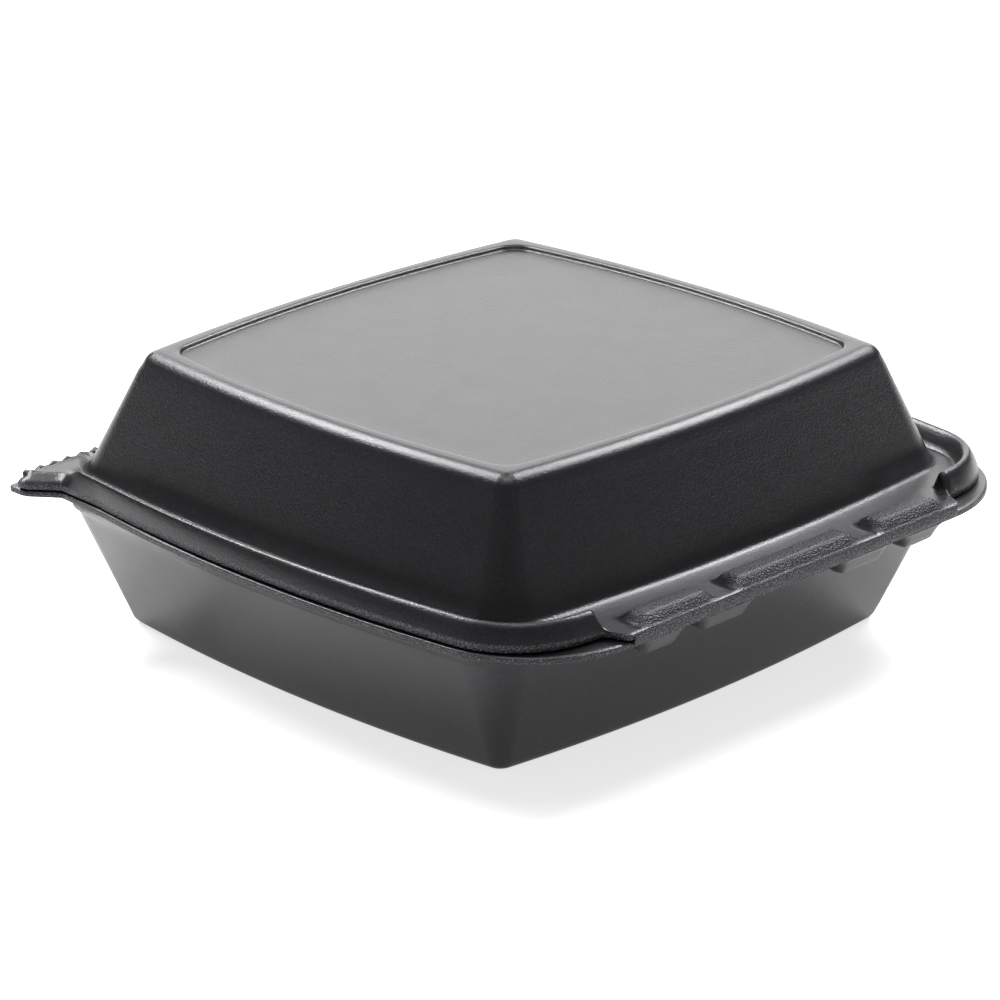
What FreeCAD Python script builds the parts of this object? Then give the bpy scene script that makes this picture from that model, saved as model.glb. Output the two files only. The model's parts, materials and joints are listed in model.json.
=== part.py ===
import FreeCAD, Part
import math
import os

import Sketcher
from FreeCAD import Vector

# Foam clamshell container, closed. Millimetres, +Z up.
# The hinge is on the +Y side, the toothed pull tab on the -Y side.
# Lengths along Y are measured from the middle of the flat bottom, and the
# whole box is then moved so that the origin is the middle of its footprint.

DRIVING_SIZES = (
    ("foam_sheet", 2.3, "thickness of the foam sheet"),
    ("trim_edge", 2.0, "thickness of the rim, squeezed where it is trimmed"),
    ("side_bow", 4.4, "how far the middle of a side stands outside its corners"),
    ("fold_bow", 0.3, "bow of the rim along the fold"),
    ("tray_foot_half", 76.5, "half width of the bottom"),
    ("tray_corner_run", 67.8, "corner centre of the tray, from its middle"),
    ("tray_foot_round", 4.0, "rounding of the bottom edge"),
    ("band_half", 92.6, "half width where the tray wall meets the flared band"),
    ("band_corner", 11.0, "corner radius there"),
    ("band_level", 37.6, "height of that bend"),
    ("rim_half", 100.5, "half width of the tray rim"),
    ("rim_corner", 31.5, "corner radius of the tray rim"),
    ("rim_front", -90.0, "front edge of the tray rim"),
    ("rim_flat", 5.6, "width of the flat top of the tray rim"),
    ("mouth_corner", 14.0, "corner radius of the tray's mouth"),
    ("rim_shift", 5.4, "how far the upper outlines lie towards the hinge"),
    ("parting_level", 44.5, "height where tray and lid meet"),
    ("parting_gap", 0.2, "gap between the two rims"),
    ("fold_line", 111.5, "place of the fold"),
    ("fold_gap", 0.3, "gap between the two rims at the fold"),
    ("lid_foot_half", 90.5, "half width of the lid wall at its foot"),
    ("lid_foot_corner", 9.5, "corner radius of the lid wall at its foot"),
    ("lid_top_half", 73.8, "half width of the lid's top, before rounding"),
    ("lid_top_corner", 8.3, "corner radius of the lid's top"),
    ("lid_top_round", 3.5, "rounding of the lid's top edge"),
    ("full_height", 81.2, "height of the closed box"),
    ("panel_half", 68.6, "half width of the recessed panel"),
    ("panel_corner", 8.5, "corner radius of the panel"),
    ("panel_depth", 1.3, "depth of the panel"),
    ("lid_rim_inset", 1.0, "how far the lid's rim stays inside the tray's"),
    ("lid_back_inset", 2.5, "how far the lid's rounded rim stays inside the fold"),
    ("lid_corner", 27.0, "corner radius of the lid's rim"),
    ("bead_width", 6.0, "width of the lid's raised bead at its foot"),
    ("bead_crown", 2.4, "width of the flat crown of the bead"),
    ("bead_rise", 6.0, "height of the bead's crown above the trimmed edge"),
    ("bead_wall", 1.9, "foam left over the bead's groove"),
    ("bead_end", 66.0, "half length of the gap in the bead at the hinge"),
    ("hinge_half", 62.0, "half length of the lid's hinge strip"),
    ("hinge_taper", 6.0, "slant at each end of the hinge strip"),
    ("tab_half", 101.5, "half width of the pull tab at its free end"),
    ("tab_root_half", 94.0, "half width of the pull tab where it leaves the rim"),
    ("tab_root", -58.0, "how far back the tab's straight edges reach into the rim"),
    ("tab_neck", -75.5, "where the tab starts to widen"),
    ("tab_shoulder", -84.0, "where it reaches its full width"),
    ("tab_rise", 2.6, "height of the lid tab's raised middle"),
    ("tab_bevel", 4.5, "length of the slope at each end of the raised middle"),
    ("tab_slope", 10.0, "length of the slope behind the teeth"),
    ("tab_lip", 0.5, "how far the tray's tab stands in front of its rim"),
    ("tooth_inset", 1.4, "how far the teeth stay behind the tray's rim"),
    ("tooth_margin", 3.2, "bare edge at each end of the row of teeth"),
    ("tooth_pitch", 4.8, "spacing of the teeth"),
    ("tooth_radius", 2.2, "radius of a tooth"),
    ("tooth_reach", 1.6, "how far a tooth stands in front of the tab"),
    ("knuckle_rise", 2.6, "height of the crushed humps beside the fold"),
    ("knuckle_slope", 2.2, "slope at the foot of a hump"),
    ("knuckle_setback", 1.2, "distance from the fold to the humps"),
    ("knuckle_depth", 8.5, "size of the humps across the fold"),
    ("middle_knuckle_half", 24.0, "half length of the middle hump"),
    ("outer_knuckle_start", 30.0, "near end of an outer hump"),
    ("outer_knuckle_end", 58.0, "far end of an outer hump"),
    ("pocket_drop", 4.5, "depth of the pockets under the tray's hinge strip"),
    ("inner_pocket_start", 16.0, "near end of an inner pocket"),
    ("inner_pocket_end", 36.0, "far end of an inner pocket"),
    ("outer_pocket_start", 43.0, "near end of an outer pocket"),
    ("outer_pocket_end", 61.0, "far end of an outer pocket"),
)

DERIVED_SIZES = (
    ("tray_slope", "=(band_half - tray_foot_half) / band_level"),
    ("tray_side", "=foam_sheet * sqrt(1 + tray_slope ^ 2)"),
    ("tray_foot_corner", "=tray_foot_half - side_bow - tray_corner_run"),
    ("foot_turn", "=atan(1 / tray_slope)"),
    ("foot_tangent", "=tray_foot_round * tan(foot_turn / 2)"),
    ("floor_half", "=tray_foot_half + foam_sheet * tray_slope - tray_side"),
    ("floor_corner", "=tray_foot_corner + foam_sheet * tray_slope"),
    ("tray_top", "=parting_level - parting_gap / 2"),
    ("tray_rim_under", "=tray_top - trim_edge"),
    ("lid_bottom", "=parting_level + parting_gap / 2"),
    ("ledge_top", "=lid_bottom + trim_edge"),
    ("bead_top", "=lid_bottom + bead_rise"),
    ("lid_half", "=rim_half - lid_rim_inset"),
    ("lid_front", "=rim_front + tooth_inset + tooth_reach"),
    ("tooth_line", "=lid_front - tooth_reach + tooth_radius"),
    ("tooth_count", "=floor(2 * (tab_half - tooth_margin) / tooth_pitch) + 1"),
    ("tooth_start", "=-(tooth_count - 1) * tooth_pitch / 2"),
    ("lid_back", "=fold_line - lid_back_inset"),
    ("lid_slope", "=(lid_foot_half - lid_top_half) / (full_height - lid_bottom)"),
    ("lid_side", "=foam_sheet * sqrt(1 + lid_slope ^ 2)"),
    ("top_turn", "=atan(1 / lid_slope)"),
    ("top_tangent", "=lid_top_round * tan(top_turn / 2)"),
    ("ceiling_level", "=full_height - panel_depth - foam_sheet"),
    ("ceiling_half", "=lid_top_half + lid_slope * (full_height - ceiling_level) - lid_side"),
    ("ceiling_corner", "=lid_top_corner - lid_side"),
    ("bead_slope", "=(bead_width - bead_crown) / 2"),
    ("hinge_edge", "=fold_line - fold_gap / 2"),
    ("footprint_shift", "=-(hinge_edge + rim_front - tab_lip) / 2"),
)


def fill_sheet(doc):
    """Write the sizes into a spreadsheet, one alias a row."""
    sheet = doc.addObject("Spreadsheet::Sheet", "sizes")
    row = 1
    for alias, value, meaning in DRIVING_SIZES:
        sheet.set("A%d" % row, meaning)
        sheet.set("B%d" % row, str(value))
        sheet.setAlias("B%d" % row, alias)
        row += 1
    for alias, formula in DERIVED_SIZES:
        sheet.set("A%d" % row, "worked out")
        sheet.set("B%d" % row, formula)
        sheet.setAlias("B%d" % row, alias)
        row += 1
    doc.recompute()
    return sheet


def number(expression):
    """Value of an expression of sheet sizes."""
    return float(sizes.evalExpression(expression))


def size(name, offset=""):
    """Expression that reads a size from the sheet, with an optional offset."""
    return "sizes." + name + offset


def plan_sketch(body, name, level):
    """Horizontal sketch of a body at a height given by an expression."""
    sketch = body.newObject("Sketcher::SketchObject", name)
    for plane in body.Origin.OriginFeatures:
        if plane.Role == "XY_Plane":
            sketch.AttachmentSupport = [(plane, "")]
    sketch.MapMode = "FlatFace"
    sketch.AttachmentOffset = FreeCAD.Placement(Vector(0, 0, number(level)), FreeCAD.Rotation())
    sketch.setExpression("AttachmentOffset.Base.z", level)
    return sketch


def bind(sketch, constraint, expression):
    """Add a dimension and tie it to the sheet."""
    index = sketch.addConstraint(constraint)
    sketch.setExpression("Constraints[%d]" % index, expression)


def side_radius(bow, corner, half_run):
    """Expression for the radius of a side that bows past two corner rounds."""
    return "((%s + %s)^2 + (%s)^2 - (%s)^2) / (2 * %s)" % (bow, corner, half_run, corner, bow)


def draw_outline(sketch, half, front, back, corner, back_bow=None):
    """Rounded rectangle whose sides all bow outwards: four corners, four long arcs."""
    bow = size("side_bow")
    back_bow = back_bow or bow
    corner = "(" + corner + ")"
    run_x = "(%s - %s - %s)" % (half, bow, corner)
    front_y = "(%s + %s + %s)" % (front, bow, corner)
    back_y = "(%s - %s - %s)" % (back, back_bow, corner)
    run_y = "((%s - %s) / 2)" % (back_y, front_y)
    middle_y = "((%s + %s) / 2)" % (back_y, front_y)
    flank_radius = side_radius(bow, corner, run_y)
    front_radius = side_radius(bow, corner, run_x)
    back_radius = side_radius(back_bow, corner, run_x)
    x, r = number(run_x), number(corner)
    y0, y1, ym = number(front_y), number(back_y), number(middle_y)
    flank, fore, aft = number(flank_radius), number(front_radius), number(back_radius)
    flank_x = number(half) - flank
    fore_y = number(front) + fore
    aft_y = number(back) - aft
    flank_turn = math.asin((y1 - y0) / 2 / (flank - r))
    fore_turn = math.asin(x / (fore - r))
    aft_turn = math.asin(x / (aft - r))
    quarter = math.pi / 2
    arcs = (
        (flank_x, ym, flank, -flank_turn, flank_turn),
        (x, y1, r, flank_turn, quarter - aft_turn),
        (0, aft_y, aft, quarter - aft_turn, quarter + aft_turn),
        (-x, y1, r, quarter + aft_turn, 2 * quarter - flank_turn),
        (-flank_x, ym, flank, 2 * quarter - flank_turn, 2 * quarter + flank_turn),
        (-x, y0, r, 2 * quarter + flank_turn, 3 * quarter - fore_turn),
        (0, fore_y, fore, 3 * quarter - fore_turn, 3 * quarter + fore_turn),
        (x, y0, r, 3 * quarter + fore_turn, 4 * quarter - flank_turn),
    )
    first = sketch.GeometryCount
    for cx, cy, radius, start, end in arcs:
        circle = Part.Circle(Vector(cx, cy, 0), Vector(0, 0, 1), radius)
        sketch.addGeometry(Part.ArcOfCircle(circle, start, end), False)
    for step in range(8):
        here = first + step
        following = first + (step + 1) % 8
        sketch.addConstraint(Sketcher.Constraint("Tangent", here, 2, following, 1))
    corners = ((1, run_x, back_y), (3, "-" + run_x, back_y), (5, "-" + run_x, front_y), (7, run_x, front_y))
    for step, along, across in corners:
        place = first + step
        bind(sketch, Sketcher.Constraint("DistanceX", -1, 1, place, 3, number(along)), along)
        bind(sketch, Sketcher.Constraint("DistanceY", -1, 1, place, 3, number(across)), across)
        bind(sketch, Sketcher.Constraint("Radius", place, r), corner)
    sides = ((0, flank_radius), (2, back_radius), (4, flank_radius), (6, front_radius))
    for step, radius in sides:
        bind(sketch, Sketcher.Constraint("Radius", first + step, number(radius)), radius)


def outline(body, name, level, half, corner, front, back, back_bow=None):
    """Sketch of one bowed outline, from its front to its back."""
    sketch = plan_sketch(body, name, level)
    draw_outline(sketch, half, front, back, corner, back_bow)
    return sketch


def square(body, name, level, half, corner, middle="sizes.rim_shift"):
    """Sketch of one bowed outline that is as deep as it is wide."""
    return outline(body, name, level, half, corner,
                   "(%s - (%s))" % (middle, half), "(%s + (%s))" % (middle, half))


def polygon(body, name, level, points):
    """Sketch of a straight-sided shape, each corner given by two expressions."""
    sketch = plan_sketch(body, name, level)
    places = [Vector(number(x), number(y), 0) for x, y in points]
    count = len(places)
    for step in range(count):
        sketch.addGeometry(Part.LineSegment(places[step], places[(step + 1) % count]), False)
    for step in range(count):
        sketch.addConstraint(Sketcher.Constraint("Coincident", step, 2, (step + 1) % count, 1))
    for step, (x, y) in enumerate(points):
        bind(sketch, Sketcher.Constraint("DistanceX", -1, 1, step, 1, number(x)), x)
        bind(sketch, Sketcher.Constraint("DistanceY", -1, 1, step, 1, number(y)), y)
    return sketch


def loft(body, name, sections, cut=False):
    """Ruled skin through a row of sketches, added or cut away."""
    kind = "PartDesign::SubtractiveLoft" if cut else "PartDesign::AdditiveLoft"
    feature = body.newObject(kind, name)
    feature.Profile = sections[0]
    feature.Sections = sections[1:]
    feature.Ruled = True
    return feature


def pad(body, name, sketch, length, reverse=False):
    """Straight block over a sketch."""
    feature = body.newObject("PartDesign::Pad", name)
    feature.Profile = sketch
    feature.Length = number(length)
    feature.setExpression("Length", length)
    feature.Reversed = reverse
    return feature


def pocket(body, name, sketch, length, upwards=False):
    """Straight cut, down from its sketch or up from it, which must take something away."""
    body.Document.recompute()
    before = body.Shape.Volume
    feature = body.newObject("PartDesign::Pocket", name)
    feature.Profile = sketch
    feature.Length = number(length)
    feature.setExpression("Length", length)
    feature.Reversed = upwards
    body.Document.recompute()
    if body.Shape.Volume >= before:
        raise ValueError(name + " cuts nothing")
    return feature


def hump(body, name, start, end, near, far, level, rise, slope):
    """Trapezoid hump over a rectangle, with sloped ends."""
    top = "(%s + %s)" % (level, rise)
    low = polygon(body, name + "_foot", level, (
        (start, near), (end, near), (end, far), (start, far)))
    high = polygon(body, name + "_top", top, (
        ("%s + %s" % (start, slope), "%s - %s / 2" % (near, slope)),
        ("%s - %s" % (end, slope), "%s - %s / 2" % (near, slope)),
        ("%s - %s" % (end, slope), "%s + %s / 2" % (far, slope)),
        ("%s + %s" % (start, slope), "%s + %s / 2" % (far, slope))))
    return loft(body, name, [low, high])


def both_sides(start, end):
    """The same stretch on each side of the middle, as two pairs of expressions."""
    return ((start, end), ("-" + end, "-" + start))


def make_tray(doc):
    """Lower half: bowed tray, flared band, flat rim, pull tab and hinge strip."""
    body = doc.addObject("PartDesign::Body", "tray")
    half_turn = "sizes.foot_turn / 2"
    outer = [
        tray_square(body, "foot_flat", "0", "-sizes.foot_tangent"),
        tray_square(body, "foot_round", "(sizes.tray_foot_round * (1 - cos(%s)))" % half_turn,
                    "(sizes.tray_foot_round * sin(%s) - sizes.foot_tangent)" % half_turn),
        tray_square(body, "foot_wall", "(sizes.foot_tangent * sin(sizes.foot_turn))",
                    "(sizes.foot_tangent * cos(sizes.foot_turn))"),
        square(body, "tray_band", size("band_level"), size("band_half"), size("band_corner")),
        outline(body, "tray_rim_under", size("tray_rim_under"), size("rim_half"), size("rim_corner"),
                size("rim_front"), "(sizes.rim_shift + sizes.rim_half)"),
        outline(body, "tray_rim_top", size("tray_top"), size("rim_half"), size("rim_corner"),
                size("rim_front"), "(sizes.rim_shift + sizes.rim_half)"),
    ]
    loft(body, "tray_skin", outer)
    plate = outline(body, "tray_plate_outline", size("tray_rim_under"), size("rim_half"),
                    size("rim_corner"), size("rim_front"), size("hinge_edge"), size("fold_bow"))
    pad(body, "tray_plate", plate, size("trim_edge"))
    tab = polygon(body, "tray_tab_outline", size("tray_rim_under"),
                  tab_points("(sizes.rim_front - sizes.tab_lip)"))
    pad(body, "tray_tab", tab, size("trim_edge"))
    far = "(sizes.hinge_edge - sizes.knuckle_setback)"
    near = "(%s - sizes.knuckle_depth)" % far
    stretches = both_sides(size("inner_pocket_start"), size("inner_pocket_end"))
    stretches += both_sides(size("outer_pocket_start"), size("outer_pocket_end"))
    for count, (start, end) in enumerate(stretches):
        hump(body, "tray_pocket_%d" % count, start, end, far, near, size("tray_rim_under"),
             "-sizes.pocket_drop", size("knuckle_slope"))
    inner = [
        tray_square(body, "tray_floor", size("foam_sheet"), "(sizes.floor_half - sizes.tray_foot_half)"),
        square(body, "tray_bend", size("band_level"), "(sizes.band_half - sizes.tray_side)",
               "(sizes.band_corner - sizes.tray_side)"),
        outline(body, "tray_mouth", size("tray_top"), "(sizes.rim_half - sizes.rim_flat)",
                size("mouth_corner"), "(sizes.rim_front + sizes.rim_flat)",
                "(sizes.rim_shift + sizes.rim_half - sizes.rim_flat)"),
    ]
    loft(body, "tray_hollow", inner, cut=True)
    return body


def tray_square(body, name, level, spread):
    """Section of the tray near its foot: the wall leans, so the section's middle moves with height."""
    middle = "(sizes.rim_shift * %s / sizes.band_level)" % level
    return square(body, name, level, "(sizes.tray_foot_half + %s)" % spread,
                  "(sizes.tray_foot_corner + %s)" % spread, middle)


def mirrored(points):
    """A half outline and its mirror image across the middle, as one closed ring."""
    return points + tuple(("-" + x, y) for x, y in reversed(points))


def tab_points(edge):
    """Corners of the pull tab, in plan."""
    return mirrored((
        (size("tab_root_half"), size("tab_root")),
        (size("tab_root_half"), size("tab_neck")),
        (size("tab_half"), size("tab_shoulder")),
        (size("tab_half"), edge)))


def wedge_points(edge, bevel, slope):
    """Corners of the lid tab's raised middle, drawn in by its bevels."""
    root = "(sizes.tab_root_half - %s)" % bevel
    tip = "(sizes.tab_half - %s)" % bevel
    return mirrored((
        (root, size("tab_neck")),
        (tip, size("tab_shoulder")),
        (tip, "(%s + %s)" % (edge, slope))))


def add_teeth(body):
    """Row of rounded teeth along the free edge of the lid's tab."""
    first = plan_sketch(body, "tooth_outline", size("lid_bottom"))
    circle = Part.Circle(Vector(number(size("tooth_start")), number(size("tooth_line")), 0),
                         Vector(0, 0, 1), number(size("tooth_radius")))
    first.addGeometry(circle, False)
    bind(first, Sketcher.Constraint("Radius", 0, circle.Radius), size("tooth_radius"))
    bind(first, Sketcher.Constraint("DistanceX", -1, 1, 0, 3, circle.Center.x), size("tooth_start"))
    bind(first, Sketcher.Constraint("DistanceY", -1, 1, 0, 3, circle.Center.y), size("tooth_line"))
    tooth = pad(body, "tooth", first, size("trim_edge"))
    row = body.newObject("PartDesign::LinearPattern", "teeth")
    row.Originals = [tooth]
    row.Direction = (first, ["H_Axis"])
    row.Length = number("-2 * sizes.tooth_start")
    row.setExpression("Length", "-2 * sizes.tooth_start")
    row.Occurrences = int(number("sizes.tooth_count + 0.5"))
    row.setExpression("Occurrences", size("tooth_count"))
    body.Tip = row


def make_lid(doc):
    """Upper half: bowed dome, trough, raised bead, toothed tab and hinge strip."""
    body = doc.addObject("PartDesign::Body", "lid")
    bottom, ledge, crown = size("lid_bottom"), size("ledge_top"), size("bead_top")

    def rim_outline(name, level, inset):
        return outline(body, name, level, "(sizes.lid_half - %s)" % inset,
                       "(sizes.lid_corner - %s)" % inset, "(sizes.lid_front + %s)" % inset,
                       "(sizes.lid_back - %s)" % inset)

    loft(body, "ridge", [rim_outline("edge_under", bottom, "0"), rim_outline("edge_top", ledge, "0"),
                         rim_outline("crown_outside", crown, size("bead_slope"))])
    loft(body, "trough", [rim_outline("trough_floor", ledge, size("bead_width")),
                          rim_outline("crown_inside", crown, "(sizes.bead_slope + sizes.bead_crown)")],
         cut=True)
    gap_near = "(sizes.lid_back - sizes.bead_width - sizes.knuckle_setback)"
    gap_far = "(sizes.lid_back + sizes.knuckle_setback)"
    gap = polygon(body, "bead_gap_outline", ledge, (
        (size("bead_end"), gap_near), (size("bead_end"), gap_far),
        (size("bead_end", " * -1"), gap_far), (size("bead_end", " * -1"), gap_near)))
    pocket(body, "bead_gap", gap, size("bead_rise"), upwards=True)
    groove = rim_outline("groove_outline", bottom, size("bead_wall"))
    groove_inset = "(sizes.bead_width - sizes.bead_wall)"
    draw_outline(groove, "(sizes.lid_half - %s)" % groove_inset, "(sizes.lid_front + %s)" % groove_inset,
                 "(sizes.lid_back - %s)" % groove_inset, "(sizes.lid_corner - %s)" % groove_inset)
    pocket(body, "bead_groove", groove, "(sizes.bead_rise - sizes.bead_wall)", upwards=True)
    edge = size("lid_front")
    pad(body, "tab", polygon(body, "tab_outline", bottom, tab_points(edge)), size("trim_edge"))
    loft(body, "tab_middle", [
        polygon(body, "tab_middle_foot", ledge, wedge_points(edge, "0", "0")),
        polygon(body, "tab_middle_crest", "(sizes.ledge_top + sizes.tab_rise)",
                wedge_points(edge, size("tab_bevel"), size("tab_slope")))])
    add_teeth(body)
    half_turn = "sizes.top_turn / 2"
    loft(body, "dome", [
        square(body, "dome_foot", bottom, size("lid_foot_half"), size("lid_foot_corner")),
        lid_square(body, "dome_wall", "(sizes.top_tangent * sin(sizes.top_turn))",
                   "(sizes.top_tangent * cos(sizes.top_turn))"),
        lid_square(body, "dome_round", "(sizes.lid_top_round * (1 - cos(%s)))" % half_turn,
                   "(sizes.lid_top_round * sin(%s) - sizes.top_tangent)" % half_turn),
        lid_square(body, "dome_flat", "0", "-sizes.top_tangent")])
    inside = "(sizes.rim_shift + sizes.lid_foot_half - sizes.foam_sheet / 2)"
    strip = polygon(body, "strip_outline", bottom, (
        ("(sizes.hinge_half + sizes.hinge_taper)", inside), (size("hinge_half"), size("hinge_edge")),
        (size("hinge_half", " * -1"), size("hinge_edge")),
        ("(-sizes.hinge_half - sizes.hinge_taper)", inside)))
    pad(body, "strip", strip, size("trim_edge"))
    far = "(sizes.hinge_edge - sizes.knuckle_setback)"
    near = "(%s - sizes.knuckle_depth)" % far
    stretches = both_sides(size("outer_knuckle_start"), size("outer_knuckle_end"))
    stretches += ((size("middle_knuckle_half", " * -1"), size("middle_knuckle_half")),)
    for count, (start, end) in enumerate(stretches):
        hump(body, "knuckle_%d" % count, start, end, near, far, ledge, size("knuckle_rise"),
             size("knuckle_slope"))
    loft(body, "hollow", [
        square(body, "hollow_mouth", bottom, "(sizes.lid_foot_half - sizes.lid_side)",
               "(sizes.lid_foot_corner - sizes.lid_side)"),
        square(body, "hollow_ceiling", size("ceiling_level"), size("ceiling_half"),
               size("ceiling_corner"))], cut=True)
    panel = square(body, "panel_outline", size("full_height"), size("panel_half"), size("panel_corner"))
    pocket(body, "panel", panel, size("panel_depth"))
    return body


def lid_square(body, name, drop, spread):
    """Section of the lid near its top, at a depth below it."""
    return square(body, name, "(sizes.full_height - %s)" % drop, "(sizes.lid_top_half + %s)" % spread,
                  "(sizes.lid_top_corner + %s)" % spread)


def check(doc, bodies):
    """Stop if any feature failed or a piece is not one sound solid."""
    for item in doc.Objects:
        if "Invalid" in item.State or "Error" in item.State:
            raise ValueError("%s failed: %s" % (item.Name, item.State))
    for body in bodies:
        shape = body.Shape
        if shape.isNull() or not shape.isValid() or len(shape.Solids) != 1:
            raise ValueError(body.Label + " is not one sound solid")
        print(body.Label, "volume %.0f cubic mm, %d faces" % (shape.Volume, len(shape.Faces)))


doc = FreeCAD.newDocument("clamshell")
sizes = fill_sheet(doc)
bodies = [make_tray(doc), make_lid(doc)]
for body in bodies:
    body.setExpression("Placement.Base.y", size("footprint_shift"))
doc.recompute()
check(doc, bodies)
os.makedirs("parts", exist_ok=True)
for body in bodies:
    body.Shape.exportStep("parts/%s.step" % body.Label)
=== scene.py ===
import json
import math

import bpy
import numpy as np
from mathutils import Matrix, Vector


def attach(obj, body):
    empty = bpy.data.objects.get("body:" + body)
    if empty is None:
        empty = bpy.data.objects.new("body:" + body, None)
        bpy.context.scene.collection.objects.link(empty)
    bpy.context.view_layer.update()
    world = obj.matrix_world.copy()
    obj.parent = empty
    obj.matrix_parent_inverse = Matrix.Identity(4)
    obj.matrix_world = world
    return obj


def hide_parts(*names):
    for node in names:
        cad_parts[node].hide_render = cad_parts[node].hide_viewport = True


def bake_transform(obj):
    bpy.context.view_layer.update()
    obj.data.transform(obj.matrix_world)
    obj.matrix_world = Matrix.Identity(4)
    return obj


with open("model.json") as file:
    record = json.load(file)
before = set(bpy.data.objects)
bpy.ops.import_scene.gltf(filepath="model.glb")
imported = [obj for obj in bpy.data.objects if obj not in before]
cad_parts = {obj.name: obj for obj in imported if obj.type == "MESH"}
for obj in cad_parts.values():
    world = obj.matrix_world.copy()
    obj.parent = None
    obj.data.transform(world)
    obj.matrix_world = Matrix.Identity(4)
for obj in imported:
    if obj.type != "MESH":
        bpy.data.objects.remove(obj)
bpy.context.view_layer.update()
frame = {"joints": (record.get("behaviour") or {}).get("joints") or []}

# Foam clamshell box. Sizes are in millimetres and are turned to metres where a mesh is made.
# Along Y they are measured from the middle of the flat bottom, as in the part's source.
MM = 0.001
FOLD_LINE = 111.5
SHIFT_Y = frame["joints"][0]["pos_m"][1] / MM - FOLD_LINE

SHEET = 2.3
TRIM_EDGE = 2.0
SIDE_BOW = 4.4
FOLD_BOW = 0.3
HINGE_EDGE = FOLD_LINE - 0.15
RIM_SHIFT = 5.4
TRAY_TOP = 44.4
LID_BOTTOM = 44.6
LEDGE = LID_BOTTOM + TRIM_EDGE
HEIGHT = 81.2

# Sections of the walls: half width, front, back, corner radius and bow of the front.
FOOT = (76.9, -79.7, 78.2, 4.3, 4.4)
FOOT_ROUND = 4.0
BAND = (93.4, -87.2, 94.2, 14.8, 2.1)
BAND_LEVEL = 37.6
BAND_ROUND = 1.2
RIM_HALF = 100.5
RIM_CORNER = 35.0
RIM_FRONT = -90.0
RIM_FLAT = 5.6
BAND_INSET = 1.4
MOUTH_CORNER = 14.0

DOME_FOOT = (89.3, -85.0, 93.6, 12.6, 1.5)
DOME_TOP = (75.0, -71.3, 80.8, 4.6, 4.4)
TOP_ROUND = 5.0
PANEL_INSET = 5.6
PANEL_CORNER = 7.0
PANEL_DEPTH = 1.3
LID_FOOT_ROUND = 2.5
LEAST_CORNER = 1.0
LID_HALF = 99.5
LID_CORNER = 27.0
LID_FRONT = -87.0
LID_BACK = 109.0
BEAD_WIDTH = 7.0
BEAD_RISE = 5.2
BEAD_END = 66.0
BEAD_FADE = (BEAD_END - 1.5, BEAD_END + 0.5)

TAB_ROOT_HALF = 94.0
TAB_NECK = -75.5
TAB_HALF = 100.4
TAB_SHOULDER = -84.0
TAB_RISE = 2.0
TAB_BEVEL = 4.5
TAB_SLOPE = 2.2
TAB_LIP = 0.5
TAB_ROUND = 1.2
TAB_END = 3.0
TAB_FADE = (TAB_NECK - 3, TAB_NECK + 7)
TOOTH_PITCH = 4.8
TOOTH_RADIUS = 2.2
TOOTH_REACH = 1.6
TOOTH_RIDGE = 3.0
TOOTH_LIFT = 1.0

HINGE_HALF = 62.0
HINGE_FADE = 3.5
HINGE_START = 90.0
HINGE_FULL = 94.0
KNUCKLE_RISE = 2.6
KNUCKLE_SLOPE = 3.4
KNUCKLE_DEPTH = 10.5
KNUCKLES = ((-24.0, 24.0), (30.0, 58.0), (-58.0, -30.0))
POCKET_DROP = 4.5
POCKETS = ((16.0, 36.0), (-36.0, -16.0), (41.0, 57.0), (-57.0, -41.0))

# Section of the crushed foam in the fold, along Y and up.
FOLD_SECTION = ((111.2, 43.2), (111.55, 43.4), (111.75, 44.0), (111.8, 44.5), (111.75, 45.0),
                (111.55, 45.6), (111.2, 45.8), (111.15, 45.2), (111.25, 44.5), (111.15, 43.8))
FOLD_SLICES = 120

# How far an edge spreads outwards and how far it lies from its flat, ring by ring.
RECESS_EDGE = ((-0.7, 0.03), (-0.35, 0.14), (-0.1, 0.4), (0.15, 0.85), (0.4, 1.13), (0.75, 1.26), (1.2, 1.3))
LID_MOUTH_EDGE = ((1.1, 0.0), (0.35, 0.25), (-0.2, 1.0))
CEILING_EDGE = ((0.3, 0.9), (-0.4, 0.3), (-1.6, 0.0))
FLOOR_EDGE = ((0.2, 1.0), (-0.5, 0.3), (-1.8, 0.0))
BAND_EDGE = ((0.25, 0.1), (1.2, 0.75))
EDGE_ROUND = 0.35
EDGE_ROUND_REACH = 0.8

# Distances from the trimmed edge at which the rims get a ring, and where the crushed foam ends.
EDGE_STEPS = (0.0, 0.3, 0.8, 1.4, 2.0, 2.7, 3.4, 4.1, 4.8, 5.5, 6.2, 7.0)
CRUSH_FADE = (0.05, 0.3)
HUMP_CRUSH = 0.7

# How many points each stretch of an outline gets: flank, corner, back, front.
LID_COUNTS = (56, 30, 170, 430)
TRAY_COUNTS = (56, 30, 170, 90)
# Places of the stretches that the pull tab replaces, and of the flank beside them.
RIGHT_FLANK, LEFT_CORNER, FRONT, RIGHT_CORNER = 0, 5, 6, 7
# How many rings the walls and the rounded edges get.
WALL_RINGS = 14
LID_INSIDE_RINGS = 7
TRAY_INSIDE_RINGS = 9
ROUND_RINGS = 7
FOOT_RINGS = 4


def smooth(value, low, high):
    """Soft step from 0 at low to 1 at high."""
    t = np.clip((value - low) / (high - low), 0.0, 1.0)
    return t * t * (3.0 - 2.0 * t)


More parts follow.
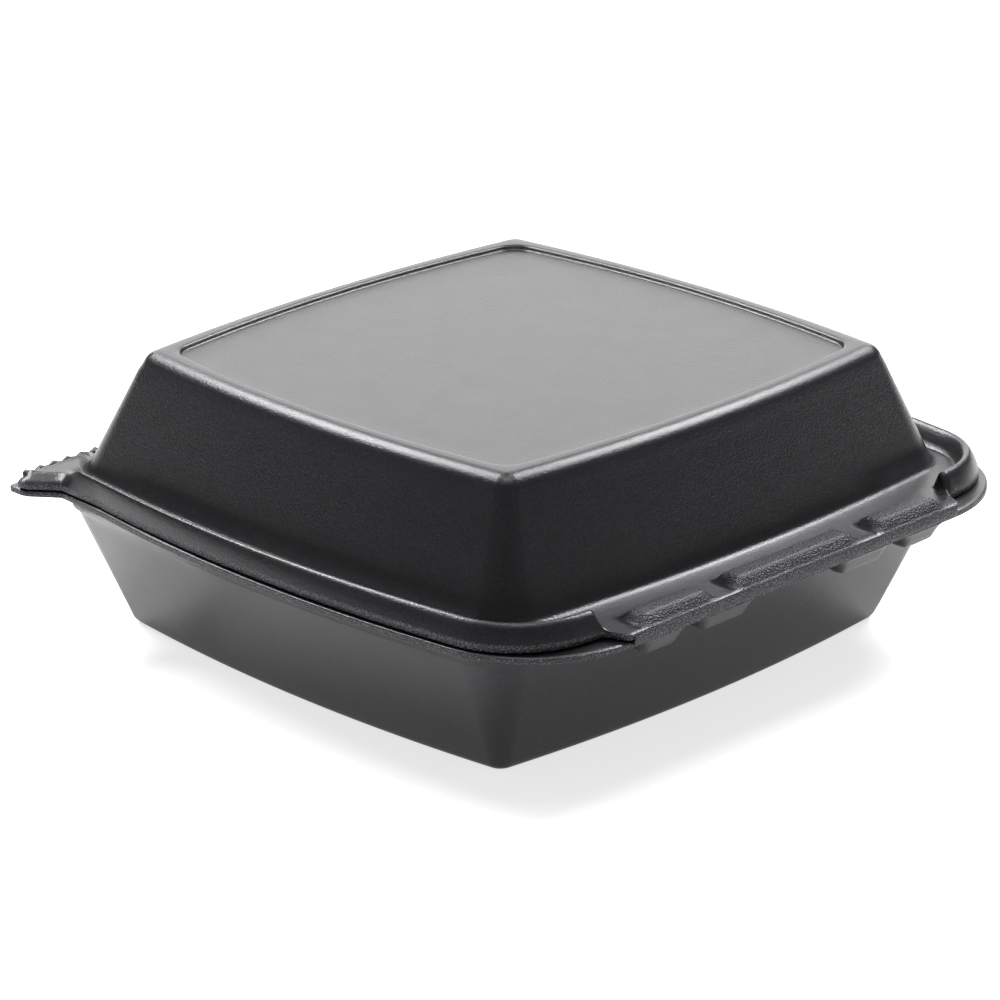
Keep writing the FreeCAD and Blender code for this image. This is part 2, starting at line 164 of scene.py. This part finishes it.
def bowed_outline(half, front, back, corner, counts, back_bow=SIDE_BOW, front_bow=SIDE_BOW):
    """Points round a rectangle whose corners are round and whose sides bow outwards."""
    flank_count, corner_count, back_count, front_count = counts
    run = half - SIDE_BOW - corner
    y0 = front + front_bow + corner
    y1 = back - back_bow - corner
    run_y = (y1 - y0) / 2

    def side(bow, chord):
        return ((bow + corner) ** 2 + chord ** 2 - corner ** 2) / (2 * bow)

    flank = side(SIDE_BOW, run_y)
    fore = side(front_bow, run)
    aft = side(back_bow, run)
    a = math.asin(run_y / (flank - corner))
    b = math.asin(run / (aft - corner))
    c = math.asin(run / (fore - corner))
    q = math.pi / 2
    middle = (y0 + y1) / 2
    arcs = (
        (half - flank, middle, flank, -a, a, flank_count),
        (run, y1, corner, a, q - b, corner_count),
        (0, back - aft, aft, q - b, q + b, back_count),
        (-run, y1, corner, q + b, 2 * q - a, corner_count),
        (flank - half, middle, flank, 2 * q - a, 2 * q + a, flank_count),
        (-run, y0, corner, 2 * q + a, 3 * q - c, corner_count),
        (0, front + fore, fore, 3 * q - c, 3 * q + c, front_count),
        (run, y0, corner, 3 * q + c, 4 * q - a, corner_count),
    )
    points = []
    for x, y, radius, start, end, count in arcs:
        turn = start + (end - start) * np.arange(count) / count
        points.append(np.stack([x + radius * np.cos(turn), y + radius * np.sin(turn)], 1))
    return np.concatenate(points)


def wall_section(low, high, share, spread, counts):
    """Outline between a low and a high section of a wall, moved outwards by a spread."""
    half, front, back, corner, bow = (a + (b - a) * share for a, b in zip(low, high))
    corner = max(corner + spread, LEAST_CORNER)
    return bowed_outline(half + spread, front - spread, back + spread, corner, counts, SIDE_BOW, bow)


def dome_section(z, spread, counts):
    """Outline of the lid's wall at a height."""
    return wall_section(DOME_FOOT, DOME_TOP, (z - LEDGE) / (HEIGHT - LEDGE), spread, counts)


def tray_section(z, spread, counts):
    """Outline of the tray's wall at a height."""
    return wall_section(FOOT, BAND, z / BAND_LEVEL, spread, counts)


def stretches(counts):
    """Index ranges of an outline's eight stretches."""
    flank, corner, back, front = counts
    lengths = (flank, corner, back, corner, flank, corner, front, corner)
    ends = np.cumsum(lengths)
    return [np.arange(end - length, end) for end, length in zip(ends, lengths)]


def along(path, count):
    """Evenly spaced points on a path, without its last point."""
    path = np.array(path, float)
    steps = np.r_[0, np.cumsum(np.hypot(*np.diff(path, axis=0).T))]
    where = np.linspace(0, steps[-1], count, endpoint=False)
    return np.stack([np.interp(where, steps, path[:, 0]), np.interp(where, steps, path[:, 1])], 1)


def rounded(path, radius, steps=5):
    """Path with its inner corners cut by short curves."""
    path = [np.array(point, float) for point in path]
    result = [path[0]]
    for before, here, after in zip(path, path[1:], path[2:]):
        start = here + (before - here) / np.linalg.norm(before - here) * radius
        end = here + (after - here) / np.linalg.norm(after - here) * radius
        for t in np.linspace(0, 1, steps):
            result.append((1 - t) ** 2 * start + 2 * t * (1 - t) * here + t ** 2 * end)
    return result + [path[-1]]


def with_tab(outline, edge, counts, teeth):
    """Replace the front of an outline by the straight edge of the pull tab."""
    parts = stretches(counts)
    result = outline.copy()
    left_start = outline[parts[LEFT_CORNER][0]]
    right_end = outline[parts[RIGHT_FLANK][0]]
    end = TAB_HALF - TAB_END
    half_path = [(-TAB_ROOT_HALF, TAB_NECK), (-TAB_HALF, TAB_SHOULDER), (-TAB_HALF, edge)]
    side = rounded([left_start] + half_path + [(-end, edge)], TAB_ROUND)
    result[parts[LEFT_CORNER]] = along(side, len(parts[LEFT_CORNER]))
    x = np.linspace(-end, end, len(parts[FRONT]), endpoint=False)
    result[parts[FRONT], 0] = x
    result[parts[FRONT], 1] = edge - (tooth_profile(x) if teeth else 0)
    mirror = [(-px, py) for px, py in reversed(half_path)]
    side = rounded([(end, edge)] + mirror + [right_end], TAB_ROUND)
    result[parts[RIGHT_CORNER]] = along(side, len(parts[RIGHT_CORNER]))
    return result


def tooth_profile(x):
    """How far the row of rounded teeth stands out of the tab's edge."""
    offset = (x + TOOTH_PITCH / 2) % TOOTH_PITCH - TOOTH_PITCH / 2
    lift = np.sqrt(np.clip(TOOTH_RADIUS ** 2 - offset ** 2, 0, None))
    return np.clip(lift - (TOOTH_RADIUS - TOOTH_REACH), 0, None)


def hump(x, y, stretch, edge):
    """Trapezoid hump beside the fold: 1 on its flat top, 0 outside."""
    start, end = stretch
    across = np.minimum(smooth(x, start, start + KNUCKLE_SLOPE), smooth(-x, -end, -end + KNUCKLE_SLOPE))
    near = edge - KNUCKLE_DEPTH
    depth = np.minimum(smooth(y, near, near + KNUCKLE_SLOPE), smooth(-y, -edge, -edge + KNUCKLE_SLOPE))
    return across * depth


def humps(x, y, stretch_list, edge):
    """All humps of one strip."""
    return np.max([hump(x, y, stretch, edge) for stretch in stretch_list], axis=0)


def edge_rounding(distance):
    """How far the trimmed edge is rounded off at a distance from it."""
    return EDGE_ROUND * (1 - smooth(distance, 0.0, EDGE_ROUND_REACH))


def edge_crush(distance):
    """How crushed the foam is at a distance from the trimmed edge."""
    return 1 - smooth(distance, *CRUSH_FADE)


def rim_rings(inner, outer, distances, extra):
    """Rings between two outlines: some at fixed distances from the outer one, the rest spread evenly."""
    gap = outer - inner
    width = np.maximum(np.hypot(gap[:, 0], gap[:, 1]), 0.01)
    reach = distances[-1]
    squeeze = np.minimum(1.0, width / (reach + 1.0))
    rings = []
    for distance in distances:
        share = distance * squeeze / width
        rings.append((outer - gap * share[:, None], np.full(len(outer), distance)))
    for step in range(1, extra + 1):
        start = reach * squeeze
        here = start + (width - start) * step / (extra + 1)
        rings.append((outer - gap * (here / width)[:, None], np.maximum(here, reach)))
    return rings


def lid_rim_top(x, y, distance):
    """Height of the lid's rim: raised bead, flat hinge strip with humps, bevelled tab with teeth."""
    across = np.clip(distance / BEAD_WIDTH, 0, 1)
    bead = BEAD_RISE * np.sin(math.pi * across)
    strip = KNUCKLE_RISE * humps(x, y, KNUCKLES, HINGE_EDGE)
    at_hinge = (1 - smooth(np.abs(x), *BEAD_FADE)) * smooth(y, HINGE_START, HINGE_FULL)
    end = np.interp(y, [TAB_SHOULDER, TAB_NECK], [TAB_HALF, TAB_ROOT_HALF])
    front_ramp = np.clip((y - LID_FRONT) / TAB_SLOPE, 0, 1)
    end_bevel = np.clip((end - np.abs(x)) / TAB_BEVEL, 0, 1)
    ridge = (1 - smooth(y, LID_FRONT, LID_FRONT + TOOTH_RIDGE)) * (np.abs(x) < TAB_HALF - TAB_END)
    tab = TAB_RISE * np.minimum(front_ramp, end_bevel) + TOOTH_LIFT * tooth_profile(x) * ridge
    at_tab = 1 - smooth(y, *TAB_FADE)
    rise = bead * (1 - at_hinge) + strip * at_hinge
    return LEDGE + rise * (1 - at_tab) + tab * at_tab


def ring(points, z, crush=0.0):
    """One ring of a skin: its points, height and how crushed the foam is there."""
    count = len(points)
    return points, np.broadcast_to(np.asarray(z, float), (count,)), np.broadcast_to(
        np.asarray(crush, float), (count,))


def skin(name, rings, material, body, node):
    """Closed skin through a row of rings, shut at both ends by a pole."""
    count = len(rings[0][0])
    first, last = rings[0], rings[-1]
    rows = np.concatenate([np.c_[points, z] for points, z, crush in rings])
    crush = np.concatenate([crush for points, z, crush in rings])
    poles = [[*first[0].mean(0), first[1].mean()], [*last[0].mean(0), last[1].mean()]]
    rows = np.concatenate([rows, poles])
    crush = np.r_[crush, 0, 0]
    rows[:, 1] += SHIFT_Y
    here = np.arange(count)
    following = (here + 1) % count
    quads = []
    for step in range(len(rings) - 1):
        base = step * count
        quads.append(np.stack([base + here, base + following, base + count + following,
                               base + count + here], 1))
    faces = np.concatenate(quads).tolist()
    start_pole, end_pole = len(rows) - 2, len(rows) - 1
    tail = (len(rings) - 1) * count
    faces += [(start_pole, int(b), int(a)) for a, b in zip(here, following)]
    faces += [(end_pole, int(tail + a), int(tail + b)) for a, b in zip(here, following)]
    mesh = bpy.data.meshes.new(name)
    mesh.from_pydata((rows * MM).tolist(), [], faces)
    layer = mesh.attributes.new("crush", "FLOAT", "POINT")
    layer.data.foreach_set("value", crush)
    mesh.shade_smooth()
    mesh.materials.append(material)
    piece = bpy.data.objects.new(name, mesh)
    bpy.context.scene.collection.objects.link(piece)
    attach(piece, body)
    if node:
        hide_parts(node)
    return piece


def recess_outline(spread, counts):
    """Outline of the lid's shallow panel recess, moved outwards by a spread."""
    half, front, back = DOME_TOP[:3]
    inset = spread - PANEL_INSET
    return bowed_outline(half + inset, front - inset, back + inset, PANEL_CORNER + spread, counts)


def build_lid(material):
    """Lid: recessed panel, rounded top edge, bowed wall, trough, bead, toothed tab and hinge strip."""
    counts = LID_COUNTS
    slope = (DOME_FOOT[0] - DOME_TOP[0]) / (HEIGHT - LEDGE)
    turn = math.atan(1 / slope)
    tangent = TOP_ROUND * math.tan(turn / 2)
    rings = []
    top_front, top_back = DOME_TOP[1:3]
    panel = recess_outline(-1.2, counts)
    middle = np.array([0, (top_front + top_back) / 2])
    for share in (0.03, 0.35, 0.7, 0.93, 1.0):
        rings.append(ring(middle + (panel - middle) * share, HEIGHT - PANEL_DEPTH))
    for spread, rise in RECESS_EDGE:
        rings.append(ring(recess_outline(spread, counts), HEIGHT - PANEL_DEPTH + rise))
    for step in range(ROUND_RINGS + 1):
        angle = turn * step / ROUND_RINGS
        spread = TOP_ROUND * math.sin(angle) - tangent
        rings.append(ring(dome_section(HEIGHT, spread, counts), HEIGHT - TOP_ROUND * (1 - math.cos(angle))))
    foot_tangent = LID_FOOT_ROUND * math.tan(turn / 2)
    high = HEIGHT - TOP_ROUND * (1 - math.cos(turn))
    low = LEDGE + foot_tangent * math.sin(turn)
    for share in np.linspace(0, 1, WALL_RINGS)[1:-1]:
        z = high + (low - high) * share
        rings.append(ring(dome_section(z, 0, counts), z))
    for step in range(FOOT_RINGS + 1):
        angle = turn * (1 - step / FOOT_RINGS)
        spread = foot_tangent - LID_FOOT_ROUND * math.sin(angle)
        z = LEDGE + LID_FOOT_ROUND * (1 - math.cos(angle))
        rings.append(ring(dome_section(LEDGE, spread, counts), z))
    inner = rings[-1][0]
    outer = bowed_outline(LID_HALF, LID_FRONT, LID_BACK, LID_CORNER, counts)
    outer = with_tab(outer, LID_FRONT, counts, True)
    beside = smooth(np.abs(outer[:, 0]), HINGE_HALF, HINGE_HALF + HINGE_FADE)
    outer[:, 1] += (HINGE_EDGE - outer[:, 1]) * (outer[:, 1] > HINGE_START) * (1 - beside)
    tops = []
    for points, distance in rim_rings(inner, outer, EDGE_STEPS, 7)[::-1]:
        z = lid_rim_top(points[:, 0], points[:, 1], distance)
        crushed = humps(points[:, 0], points[:, 1], KNUCKLES, HINGE_EDGE)
        crushed = np.maximum(HUMP_CRUSH * crushed, edge_crush(distance))
        tops.append((points, z - edge_rounding(distance), distance, crushed))
    for points, z, distance, crushed in tops:
        rings.append(ring(points, z, crushed))
    for points, z, distance, crushed in reversed(tops):
        lift = edge_rounding(distance)
        under = np.maximum(z + lift - TRIM_EDGE, LID_BOTTOM) + lift
        rings.append(ring(points, under, edge_crush(distance)))
    side = SHEET * math.sqrt(1 + slope ** 2)
    ceiling = HEIGHT - PANEL_DEPTH - SHEET
    for spread, rise in LID_MOUTH_EDGE:
        rings.append(ring(dome_section(LID_BOTTOM, spread - side, counts), LID_BOTTOM + rise))
    for z in np.linspace(LEDGE, ceiling - TRIM_EDGE, LID_INSIDE_RINGS)[1:]:
        rings.append(ring(dome_section(z, -side, counts), z))
    for spread, drop in CEILING_EDGE:
        rings.append(ring(dome_section(ceiling, spread - side, counts), ceiling - drop))
    last = rings[-1][0]
    for share in (0.7, 0.3, 0.03):
        rings.append(ring(middle + (last - middle) * share, ceiling))
    return skin("lid_foam", rings, material, "cover", "lid")


def build_tray(material):
    """Tray: flat bottom, rounded foot, bowed wall, flared band, flat rim, tab and hinge pockets."""
    counts = TRAY_COUNTS
    slope = (BAND[0] - FOOT[0]) / BAND_LEVEL
    turn = math.atan(1 / slope)
    tangent = FOOT_ROUND * math.tan(turn / 2)
    rings = []
    bottom = tray_section(0, -tangent, counts)
    for share in (0.03, 0.4, 0.8, 1.0):
        rings.append(ring(bottom * share, 0))
    for step in range(1, ROUND_RINGS + 1):
        angle = turn * step / ROUND_RINGS
        z = FOOT_ROUND * (1 - math.cos(angle))
        rings.append(ring(tray_section(0, FOOT_ROUND * math.sin(angle) - tangent, counts), z))
    start = FOOT_ROUND * (1 - math.cos(turn))
    for share in np.linspace(0, 1, WALL_RINGS)[1:]:
        z = start + (BAND_LEVEL - BAND_ROUND - start) * share
        rings.append(ring(tray_section(z, 0, counts), z))
    for spread, rise in BAND_EDGE:
        low_level = BAND_LEVEL + rise
        rings.append(ring(tray_section(BAND_LEVEL, spread, counts), low_level))
    under_level = TRAY_TOP - TRIM_EDGE
    half = RIM_HALF - BAND_INSET
    inner = bowed_outline(half, RIM_FRONT + TRIM_EDGE, RIM_SHIFT + half, RIM_CORNER - BAND_INSET, counts)
    low = rings[-1][0]
    for share in (0.33, 0.66, 1.0):
        rings.append(ring(low + (inner - low) * share, low_level + (under_level - low_level) * share))
    outer = bowed_outline(RIM_HALF, RIM_FRONT, HINGE_EDGE, RIM_CORNER, counts, FOLD_BOW)
    outer = with_tab(outer, RIM_FRONT - TAB_LIP, counts, False)
    rim = rim_rings(inner, outer, EDGE_STEPS[:4], 8)[::-1]
    for points, distance in rim:
        drop = POCKET_DROP * humps(points[:, 0], points[:, 1], POCKETS, HINGE_EDGE)
        rings.append(ring(points, under_level - drop + edge_rounding(distance), edge_crush(distance)))
    for points, distance in reversed(rim[-4:]):
        rings.append(ring(points, TRAY_TOP - edge_rounding(distance), edge_crush(distance)))
    mouth_half = RIM_HALF - RIM_FLAT
    mouth = bowed_outline(mouth_half, RIM_FRONT + RIM_FLAT, RIM_SHIFT + mouth_half, MOUTH_CORNER, counts)
    top_edge = rings[-1][0]
    for share in (0.25, 0.5, 0.75, 0.95):
        rings.append(ring(top_edge + (mouth - top_edge) * share, TRAY_TOP))
    rings.append(ring(mouth, TRAY_TOP - EDGE_ROUND))
    side = SHEET * math.sqrt(1 + slope ** 2)
    bend = tray_section(BAND_LEVEL, -side, counts)
    for share in (0.5, 0.9):
        rings.append(ring(mouth + (bend - mouth) * share, TRAY_TOP + (BAND_LEVEL - TRAY_TOP) * share))
    for z in np.linspace(BAND_LEVEL, SHEET, TRAY_INSIDE_RINGS)[1:-1]:
        rings.append(ring(tray_section(z, -side, counts), z))
    for spread, rise in FLOOR_EDGE:
        rings.append(ring(tray_section(SHEET, spread - side, counts), SHEET + rise))
    last = rings[-1][0]
    for share in (0.8, 0.4, 0.03):
        rings.append(ring(last * share, SHEET))
    return skin("tray_foam", rings, material, "base", "tray")


def build_fold_web(material):
    """Crushed foam that joins tray and lid along the fold."""
    rows = []
    for x in np.linspace(-HINGE_HALF + 1, HINGE_HALF - 1, FOLD_SLICES):
        for y, z in FOLD_SECTION:
            rows.append((x * MM, (y + SHIFT_Y) * MM, z * MM))
    count = len(FOLD_SECTION)
    faces = [tuple(range(count))[::-1], tuple(range(len(rows) - count, len(rows)))]
    for step in range(FOLD_SLICES - 1):
        for turn in range(count):
            a = step * count + turn
            b = step * count + (turn + 1) % count
            faces.append((a, b, b + count, a + count))
    mesh = bpy.data.meshes.new("fold_web")
    mesh.from_pydata(rows, [], faces)
    layer = mesh.attributes.new("crush", "FLOAT", "POINT")
    layer.data.foreach_set("value", np.ones(len(rows)))
    mesh.shade_smooth()
    mesh.materials.append(material)
    piece = bpy.data.objects.new("fold_web", mesh)
    bpy.context.scene.collection.objects.link(piece)
    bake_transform(piece)
    return piece


def linear(hex_colour):
    """sRGB hex text to linear red, green, blue, alpha."""
    channels = [int(hex_colour[i:i + 2], 16) / 255 for i in (1, 3, 5)]
    return [c / 12.92 if c <= 0.04045 else ((c + 0.055) / 1.055) ** 2.4 for c in channels] + [1.0]


def add(tree, kind, settings=(), **links):
    """Add a node with its settings; each link names an input and the output or value that feeds it."""
    node = tree.nodes.new(kind)
    for key, value in dict(settings).items():
        setattr(node, key, value)
    for key, value in links.items():
        socket = node.inputs[int(key[1:])] if key[0] == "i" and key[1:].isdigit() else node.inputs[
            key.replace("_", " ")]
        if isinstance(value, bpy.types.NodeSocket):
            tree.links.new(value, socket)
        else:
            socket.default_value = value
    return node


def two_tones(tree, factor, low, low_colour, high, high_colour):
    """Colour that turns from one tone to another as a factor rises."""
    node = add(tree, "ShaderNodeValToRGB", i0=factor)
    for stop, place, tone in zip(node.color_ramp.elements, (low, high), (low_colour, high_colour)):
        stop.position = place
        stop.color = linear(tone)
    return node.outputs["Color"]


# Pattern sizes of the foam in millimetres, depths of its relief and how rough its skin is.
CELL = 0.6
CELL_RELIEF = 0.2
BROKEN_BEAD = 0.55
BROKEN_RELIEF = 0.8
PATCH = 9.0
SKIN_ROUGH = (0.29, 0.35)
CRUSHED_ROUGH = 0.5


def moulded_foam():
    """Black expanded polystyrene, thermoformed: a closed satin skin over fine cells.

    The skin mirrors pale surroundings softly at a flat angle, its cells give a fine mottle,
    and where the foam is trimmed or crushed it turns rough and a lighter grey, with painted
    glints set as pale spots in its colour. The tint gives the mirrored light a faint violet.
    """
    material = bpy.data.materials.new("moulded_black_foam")
    material.use_nodes = True
    tree = material.node_tree
    shader = tree.nodes["Principled BSDF"]
    place = add(tree, "ShaderNodeTexCoord").outputs["Object"]
    crush = add(tree, "ShaderNodeAttribute", {"attribute_name": "crush"}).outputs["Fac"]
    mottle = add(tree, "ShaderNodeTexNoise", Vector=place, Scale=1 / (CELL * MM), Detail=2.0, Roughness=0.6)
    patches = add(tree, "ShaderNodeTexNoise", Vector=place, Scale=1 / (PATCH * MM), Detail=2.0)
    grit_and_glint_spots = add(tree, "ShaderNodeTexVoronoi", Vector=place, Scale=1 / (BROKEN_BEAD * MM))
    tone = two_tones(tree, mottle.outputs["Fac"], 0.35, "#0E0E10", 0.68, "#222226")
    # Crushed and trimmed foam: its own lighter grey tone, plus painted glints as pale spots (#96959C) at the
    # centres of the broken beads
    crushed_tone_and_painted_glints = two_tones(tree, grit_and_glint_spots.outputs["Distance"], 0.12, "#96959C", 0.36, "#2C2C30")
    colour = add(tree, "ShaderNodeMix", {"data_type": "RGBA"}, i0=crush, i6=tone, i7=crushed_tone_and_painted_glints)
    tree.links.new(colour.outputs[2], shader.inputs["Base Color"])
    gloss = add(tree, "ShaderNodeMapRange", Value=patches.outputs["Fac"], To_Min=SKIN_ROUGH[0],
                To_Max=SKIN_ROUGH[1])
    rough = add(tree, "ShaderNodeMix", i0=crush, i2=gloss.outputs["Result"], i3=CRUSHED_ROUGH)
    tree.links.new(rough.outputs[0], shader.inputs["Roughness"])
    fine = add(tree, "ShaderNodeBump", Height=mottle.outputs["Fac"], Strength=0.55,
               Distance=CELL_RELIEF * MM)
    depth = add(tree, "ShaderNodeMath", {"operation": "MULTIPLY"}, i0=crush, i1=0.9)
    coarse = add(tree, "ShaderNodeBump", Height=grit_and_glint_spots.outputs["Distance"], Strength=depth.outputs[0],
                 Distance=BROKEN_RELIEF * MM, Normal=fine.outputs["Normal"])
    tree.links.new(coarse.outputs["Normal"], shader.inputs["Normal"])
    shader.inputs["IOR"].default_value = 1.5
    shader.inputs["Specular IOR Level"].default_value = 0.6
    shader.inputs["Specular Tint"].default_value = linear("#FCF9FF")
    shader.inputs["Coat Weight"].default_value = 0.2
    shader.inputs["Coat Roughness"].default_value = 0.3
    return material


# How much the white floor glows to the camera and in reflections, the room's light, and the floor's size.
CAMERA_LIFT = 0.72
MIRROR_LIFT = 0.32
ROOM_LEVEL = 0.16
FLOOR_REACH = 6.0


def white_stage():
    """White floor that keeps the box's shadow and reads white to the camera and in reflections."""
    material = bpy.data.materials.new("white_paper_sweep")
    material.use_nodes = True
    tree = material.node_tree
    shader = tree.nodes["Principled BSDF"]
    shader.inputs["Base Color"].default_value = linear("#F4F4F4")
    shader.inputs["Roughness"].default_value = 0.9
    shader.inputs["Specular IOR Level"].default_value = 0.0
    path = add(tree, "ShaderNodeLightPath")
    mirrored = add(tree, "ShaderNodeMath", {"operation": "MULTIPLY"}, i0=path.outputs["Is Glossy Ray"],
                   i1=MIRROR_LIFT)
    shader.inputs["Emission Color"].default_value = (1, 1, 1, 1)
    lift = add(tree, "ShaderNodeMath", {"operation": "MULTIPLY_ADD"}, i0=path.outputs["Is Camera Ray"],
               i1=CAMERA_LIFT, i2=mirrored.outputs[0])
    tree.links.new(lift.outputs[0], shader.inputs["Emission Strength"])
    mesh = bpy.data.meshes.new("floor")
    corners = [(x * FLOOR_REACH, y * FLOOR_REACH, 0) for x, y in ((-1, -1), (1, -1), (1, 1), (-1, 1))]
    mesh.from_pydata(corners, [], [(0, 1, 2, 3)])
    mesh.materials.append(material)
    floor = bpy.data.objects.new("floor", mesh)
    bpy.context.scene.collection.objects.link(floor)


def light_world():
    """Room: white to the camera, dim in reflections and as light, so that upright walls stay dark."""
    world = bpy.data.worlds.new("pale_room")
    bpy.context.scene.world = world
    world.use_nodes = True
    tree = world.node_tree
    back = tree.nodes["Background"]
    path = add(tree, "ShaderNodeLightPath")
    level = add(tree, "ShaderNodeMapRange", Value=path.outputs["Is Camera Ray"], To_Min=ROOM_LEVEL,
                To_Max=1.0)
    tree.links.new(level.outputs["Result"], back.inputs["Strength"])
    back.inputs["Color"].default_value = (1, 1, 1, 1)


def softbox(name, place, aim, width, height, power):
    """Flat lamp pointed at a place."""
    lamp = bpy.data.lights.new(name, "AREA")
    lamp.shape = "RECTANGLE"
    lamp.size = width
    lamp.size_y = height
    lamp.energy = power
    item = bpy.data.objects.new(name, lamp)
    item.location = place
    item.rotation_euler = (Vector(aim) - Vector(place)).to_track_quat("-Z", "Y").to_euler()
    bpy.context.scene.collection.objects.link(item)


# Lamps in metres and watts: name, place, aim, width, height and power. The strips draw the bright
# lines on the lid's top edge, and the far card lights the panel and the tab at a flat angle.
LAMPS = (
    ("overhead", (0.1, 0.1, 1.5), (0, 0, 0.04), 0.8, 0.8, 6),
    ("front_strip", (0.1, -1.25, 1.4), (0, 0, 0.08), 1.0, 0.35, 28),
    ("side_strip", (-1.25, 0.0, 1.5), (0, 0, 0.08), 1.0, 0.35, 28),
    ("far_card", (-1.6, -1.6, 0.75), (0, 0, 0.05), 2.0, 1.4, 18),
)

# The camera comes from outlines measured in the photograph, in degrees, millimetres and pixels.
VIEW_AZIMUTH = 136.63
VIEW_ELEVATION = 21.14
VIEW_ROLL = -1.25
VIEW_DISTANCE = 1227.0
VIEW_TARGET_HEIGHT = 33.9
FOCAL_PIXELS = 4456.6
CENTRE_PIXEL = (502.4, 505.6)
IMAGE_PIXELS = 1000.0


def place_camera():
    """Camera at the photograph's viewing angle."""
    az, el, roll = (math.radians(angle) for angle in (VIEW_AZIMUTH, VIEW_ELEVATION, VIEW_ROLL))
    back = Vector((math.sin(az) * math.cos(el), -math.cos(az) * math.cos(el), math.sin(el)))
    right = Vector((math.cos(az), math.sin(az), 0))
    up = back.cross(right)
    across = right * math.cos(roll) + up * math.sin(roll)
    upright = up * math.cos(roll) - right * math.sin(roll)
    target = Vector((0, SHIFT_Y, VIEW_TARGET_HEIGHT)) * MM
    lens = bpy.data.cameras.new("camera")
    lens.lens = FOCAL_PIXELS / IMAGE_PIXELS * lens.sensor_width
    lens.shift_x = (IMAGE_PIXELS / 2 - CENTRE_PIXEL[0]) / IMAGE_PIXELS
    lens.shift_y = (CENTRE_PIXEL[1] - IMAGE_PIXELS / 2) / IMAGE_PIXELS
    camera = bpy.data.objects.new("camera", lens)
    matrix = Matrix((across, upright, back)).transposed().to_4x4()
    matrix.translation = target + back * VIEW_DISTANCE * MM
    camera.matrix_world = matrix
    bpy.context.scene.collection.objects.link(camera)
    bpy.context.scene.camera = camera


place_camera()
foam = moulded_foam()
build_tray(foam)
build_lid(foam)
build_fold_web(foam)
white_stage()
light_world()
for lamp_settings in LAMPS:
    softbox(*lamp_settings)
bpy.context.scene.view_settings.view_transform = "Standard"
